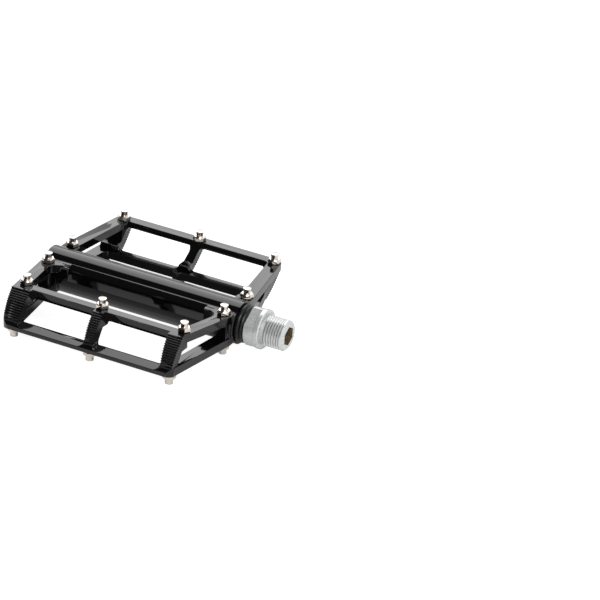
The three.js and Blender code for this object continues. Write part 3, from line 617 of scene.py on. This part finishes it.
def thread_ridge():
    ridge = bmesh.new()
    half_crest = 0.07 * thread_pitch
    half_foot = 0.47 * thread_pitch
    sunk = thread_root - 0.15 * mm
    section = [
        (-half_foot, sunk), (-half_crest, thread_crest),
        (half_crest, thread_crest), (half_foot, sunk),
    ]
    points = [ridge.verts.new((thread_start + place, 0, radius)) for place, radius in section]
    first = ridge.faces.new(points)
    steps = int(thread_turns * turn_steps)
    step_along = thread_pitch * thread_turns / steps
    bmesh.ops.spin(
        ridge, geom=[first], cent=(0, 0, 0), axis=x_axis, angle=-2 * math.pi * thread_turns,
        dvec=(step_along, 0, 0), steps=steps, use_merge=False, use_duplicate=False,
    )
    bmesh.ops.recalc_face_normals(ridge, faces=ridge.faces)
    return ridge


ridge_shape = thread_ridge()
print("thread ridge: faces", len(ridge_shape.faces), "open edges", open_edges(ridge_shape))
spindle_shape = combine(spindle_shape, ridge_shape, "UNION")
print("threaded: faces", len(spindle_shape.faces), "open edges", open_edges(spindle_shape))


# %% Cutters for the flats and the sockets
def block(low, high):
    shape = bmesh.new()
    bmesh.ops.create_cube(shape, size=1)
    bmesh.ops.scale(shape, verts=shape.verts, vec=Vector(high) - Vector(low))
    bmesh.ops.translate(shape, verts=shape.verts, vec=(Vector(high) + Vector(low)) / 2)
    return shape


def hexagon_rod(flats, start, end):
    corner = flats / math.sqrt(3)
    onto_x = Matrix.Rotation(math.pi / 2, 3, "Y")
    shape = bmesh.new()
    bmesh.ops.create_cone(
        shape, cap_ends=True, segments=6, radius1=corner, radius2=corner, depth=end - start
    )
    bmesh.ops.rotate(shape, verts=shape.verts, cent=(0, 0, 0), matrix=onto_x)
    bmesh.ops.translate(shape, verts=shape.verts, vec=((start + end) / 2, 0, 0))
    return shape


# %% Cut the flats and the socket
flat_height = 7.5 * mm
past_flange = 12 * mm
socket_flats = 8 * mm
socket_depth = 8 * mm
for side in (1, -1):
    lower, upper = sorted((side * flat_height, side * past_flange))
    flat = block((wrench_start - 1 * mm, -past_flange, lower), (wrench_end, past_flange, upper))
    spindle_shape = combine(spindle_shape, flat, "DIFFERENCE")
socket = hexagon_rod(socket_flats, crank_end - socket_depth, crank_end + 1 * mm)
spindle_shape = combine(spindle_shape, socket, "DIFFERENCE")
print("cut: faces", len(spindle_shape.faces), "open edges", open_edges(spindle_shape))

# %% Turn the flats as photographed, and give socket and thread their own finishes
flats_turn = Matrix.Rotation(math.radians(32), 3, "X")
bmesh.ops.rotate(spindle_shape, verts=spindle_shape.verts, cent=(0, 0, 0), matrix=flats_turn)
spindle_finishes = [zinc, socket_oil, thread_zinc]
socket_radius = 4.7 * mm
socket_floor = crank_end - socket_depth - 0.5 * mm
socket_mouth = crank_end - 0.1 * mm
thread_end = crank_end - 0.9 * mm
for face in spindle_shape.faces:
    middle = face.calc_center_median()
    if middle.yz.length < socket_radius and socket_floor < middle.x < socket_mouth:
        finish = socket_oil
    elif thread_start < middle.x < thread_end:
        finish = thread_zinc
    else:
        finish = zinc
    face.material_index = spindle_finishes.index(finish)
finished_piece(
    "threaded_spindle", spindle_shape, "spindle_assembly", ["spindle"],
    spindle_finishes,
)
print("threaded_spindle finishes", len(spindle_finishes))

# %% [markdown]
# ## The seal and the end cap
# Where the spindle enters the body, a moulded rubber seal shows two rounded lips. At the other end
# a screwed cap closes the bearing. Both are spun, with their corners rounded.

# %% Rubber seal
seal_profile = [
    (35.2 * mm, 6.3 * mm),
    (35.2 * mm, 7.9 * mm),
    (38.2 * mm, 7.9 * mm),
    (38.2 * mm, 9 * mm),
    (40.1 * mm, 9 * mm),
    (40.5 * mm, 8.2 * mm),
    (40.9 * mm, 8.7 * mm),
    (41.7 * mm, 8.5 * mm),
    (42.7 * mm, 7.4 * mm),
    (42.7 * mm, 6.3 * mm),
]
seal_rounds = [(3, 0.7 * mm), (4, 0.7 * mm), (6, 0.28 * mm), (7, 0.4 * mm), (8, 0.3 * mm)]
seal_shape = spun(seal_profile, x_axis, lathe_steps, seal_rounds, closed=True)
print("seal: open edges", open_edges(seal_shape))
finished_piece(
    "rubber_seal", seal_shape, "pedal_body", ["inboard_seal"], [seal_rubber]
)

# %% End cap with its hexagon socket
cap_end = -61.4 * mm
cap_socket = hexagon_rod(6 * mm, cap_end - 1 * mm, cap_end + 1.6 * mm)
cap_profile = [
    (cap_end, 0),
    (cap_end, 8.1 * mm),
    (-60.2 * mm, 8.1 * mm),
    (-60.2 * mm, 7.5 * mm),
    (-59.7 * mm, 7.5 * mm),
    (-59.7 * mm, 6.6 * mm),
    (-58.1 * mm, 6.6 * mm),
    (-58.1 * mm, 7.5 * mm),
    (-57.6 * mm, 7.5 * mm),
    (-57.6 * mm, 0),
]
cap_shape = spun(cap_profile, x_axis, lathe_steps, [(1, 0.4 * mm)])
cap_shape = combine(cap_shape, cap_socket, "DIFFERENCE")
print("cap: open edges", open_edges(cap_shape))
finished_piece(
    "turned_end_cap", cap_shape, "pedal_body", ["end_cap"], [cap_anodised]
)

# %% [markdown]
# ## Parts inside the barrel
# Their CAD shapes are right, and they show only when the pedal is taken apart, so the CAD nodes
# stay and only get their finishes.

# %% Finishes for the CAD nodes that stay
inner_finishes = {
    "plain_bushing": bronze,
    "bearing_outer_race": ground_steel,
    "bearing_inner_race": ground_steel,
    "bearing_shield_outboard": ring_rubber,
    "bearing_shield_inboard": ring_rubber,
    "bearing_cage": nylon,
    "end_cap_o_ring": ring_rubber,
    "washer": oxide_steel,
    "lock_nut": oxide_steel,
}
refinished = 0
for name, node in frame["nodes"].items():
    finish = ground_steel if name.startswith("bearing_ball") else inner_finishes.get(name)
    if finish is not None:
        node.data.materials.clear()
        node.data.materials.append(finish)
        refinished += 1
print("CAD nodes with a new finish", refinished)

# %% [markdown]
# ## Floor, surroundings and light
# The photograph's ground is pure white, and the glossy body shows where the studio was bright. The
# floor glows white for the camera. Mirrors see it as the lamps light it, with its shadow and a
# faint glow. The photographed barrel mirrors hardly any floor under the two pockets, so the paint
# is darker there for all rays but the camera's. The world is white for the camera too. What mirrors
# see of it is bright behind the pedal and on the crank's side, and dark in front and overhead,
# where the photographed crown turns black.

# %% Floor, as low as the lower pins reach
floor_shape = bmesh.new()
bmesh.ops.create_grid(floor_shape, x_segments=1, y_segments=1, size=6)
bmesh.ops.translate(floor_shape, verts=floor_shape.verts, vec=(0, 0, cad_box[0].z))
floor = as_object("floor", floor_shape)
print("floor at", round(cad_box[0].z / mm, 2), "mm")


# %% Helpers for arithmetic with sockets, and for telling rays apart
def calculate(owner, operation, *values):
    node = add_node(owner, "ShaderNodeMath", operation=operation)
    for socket, value in zip(node.inputs, values):
        feed(owner, socket, value)
    return node.outputs[0]


def split(owner, vector):
    node = add_node(owner, "ShaderNodeSeparateXYZ")
    feed(owner, node.inputs["Vector"], vector)
    return node.outputs


def camera_only(owner):
    """1 for rays from the camera, 0 for all others."""
    return add_node(owner, "ShaderNodeLightPath").outputs["Is Camera Ray"]


def seen_only(owner):
    """1 for rays from the camera or a reflection or a refraction, 0 for rays that light things."""
    path = add_node(owner, "ShaderNodeLightPath")
    total = path.outputs["Is Camera Ray"]
    for other in ("Is Glossy Ray", "Is Transmission Ray"):
        total = calculate(owner, "MAXIMUM", total, path.outputs[other])
    return total


# %% The floor's paint, and its painted shadow under the pockets
pocket_middle = 32 * mm
pocket_edge = 11 * mm
past_pocket = 19 * mm
plate_edge = 18 * mm
past_plate = 34 * mm
deep_shade = 0.15
floor_paint = new_finish("white_floor", (1, 1, 1), 0.9)
floor_shader = floor_paint.node_tree.nodes["Principled BSDF"]
feed(floor_paint, floor_shader.inputs["Specular IOR Level"], 0)
feed(floor_paint, floor_shader.inputs["Emission Color"], (1, 1, 1, 1))
place = split(floor_paint, add_node(floor_paint, "ShaderNodeTexCoord").outputs["Object"])
from_spindle = calculate(floor_paint, "ABSOLUTE", place["Y"])
from_pocket = calculate(floor_paint, "SUBTRACT", from_spindle, pocket_middle)
off_pocket = calculate(floor_paint, "ABSOLUTE", from_pocket)
# Painted shadow: for lamps and mirrors, the floor's paint is darker under the two pockets.
beside = ramp(floor_paint, off_pocket, pocket_edge, past_pocket, deep_shade)
beyond = ramp(floor_paint, place["X"], plate_edge, past_plate)
shade = calculate(floor_paint, "MAXIMUM", beside, beyond)
floor.data.materials.append(floor_paint)
print("floor shaded up to", round((pocket_middle + past_pocket) / mm), "mm from the spindle")

# %% What lamps, mirrors and the camera see of the floor
lit_floor = 0.8
camera_floor = 0.4
camera_glow = 0.8
mirror_glow = 0.15
to_camera = camera_only(floor_paint)
painted = calculate(floor_paint, "MULTIPLY", shade, lit_floor)
grey = ramp(floor_paint, to_camera, 0, 1, painted, camera_floor)
feed(floor_paint, floor_shader.inputs["Base Color"], grey)
glow = calculate(
    floor_paint, "MULTIPLY_ADD", seen_only(floor_paint),
    calculate(floor_paint, "MULTIPLY", shade, mirror_glow),
    calculate(floor_paint, "MULTIPLY", to_camera, camera_glow),
)
feed(floor_paint, floor_shader.inputs["Emission Strength"], glow)
print("floor paint nodes", len(floor_paint.node_tree.nodes))

# %% World
behind_and_below = (0, 0.966, -0.259)
dark_until = -0.06
bright_from = 0.1
crank_side_from = 0.3
dark_side = 0.05
bright_side = 0.9
fill_light = 0.45
world = bpy.data.worlds.new("studio")
bpy.context.scene.world = world
world.use_nodes = True
background = world.node_tree.nodes["Background"]
feed(world, background.inputs["Color"], (1, 1, 1, 1))
direction = add_node(world, "ShaderNodeTexCoord").outputs["Generated"]
behind = add_node(world, "ShaderNodeVectorMath", operation="DOT_PRODUCT")
feed(world, behind.inputs[0], direction)
feed(world, behind.inputs[1], behind_and_below)
room = ramp(world, behind.outputs["Value"], dark_until, bright_from, dark_side, bright_side)
crank_side = ramp(world, split(world, direction)["X"], 0, crank_side_from)
mirrored = calculate(world, "MAXIMUM", room, crank_side)
seen = calculate(world, "MAXIMUM", mirrored, camera_only(world))
world_light = ramp(world, seen_only(world), 0, 1, fill_light, seen)
feed(world, background.inputs["Strength"], world_light)
print("world nodes", len(world.node_tree.nodes))

# %% [markdown]
# ### Lamps
# A soft lamp in front, on the crank's side, lights the pins and the spindle. A broad one behind and
# above is what the tread faces and the barrel's crown mirror towards the camera.

# %% Soft lamps
def soft_lamp(name, place, size, power):
    lamp_data = bpy.data.lights.new(name, "AREA")
    lamp_data.shape = "DISK"
    lamp_data.size = size
    lamp_data.energy = power
    lamp = bpy.data.objects.new(name, lamp_data)
    lamp.location = place
    lamp.rotation_euler = (-Vector(place)).to_track_quat("-Z", "Y").to_euler()
    bpy.context.scene.collection.objects.link(lamp)
    print(name, "at", place)


soft_lamp("front_lamp", place=(0.75, -0.75, 1.0), size=0.75, power=11)
soft_lamp("back_lamp", place=(-0.645, 0.94, 1.08), size=1.4, power=9)

# %% [markdown]
# ## Camera
# The camera was solved from the pins, corners and thread of the photographed pedal: a long lens,
# far off, a little above and rolled by less than five degrees.

# %% Camera at the photograph's angle
camera_place = (0.64097, -1.23505, 0.70141)
yaw, pitch, roll = (math.radians(angle) for angle in (-24.98, 26.59, 4.58))
turn = Matrix.Rotation(yaw, 3, "Z")
tilt = Matrix.Rotation(pitch + math.pi / 2, 3, "X")
lean = Matrix.Rotation(roll, 3, "Z")
right, down, forward = lean @ tilt @ turn
facing = Matrix((right, -down, -forward)).transposed().to_4x4()
camera_data = bpy.data.cameras.new("photo_camera")
camera_data.sensor_width = 36
camera_data.lens = 206.33
camera_data.clip_end = 50
camera = bpy.data.objects.new("photo_camera", camera_data)
camera.matrix_world = Matrix.Translation(camera_place) @ facing
bpy.context.scene.collection.objects.link(camera)
bpy.context.scene.camera = camera
bpy.context.scene.view_settings.view_transform = "Standard"
print("camera", tuple(round(value, 3) for value in camera.location))
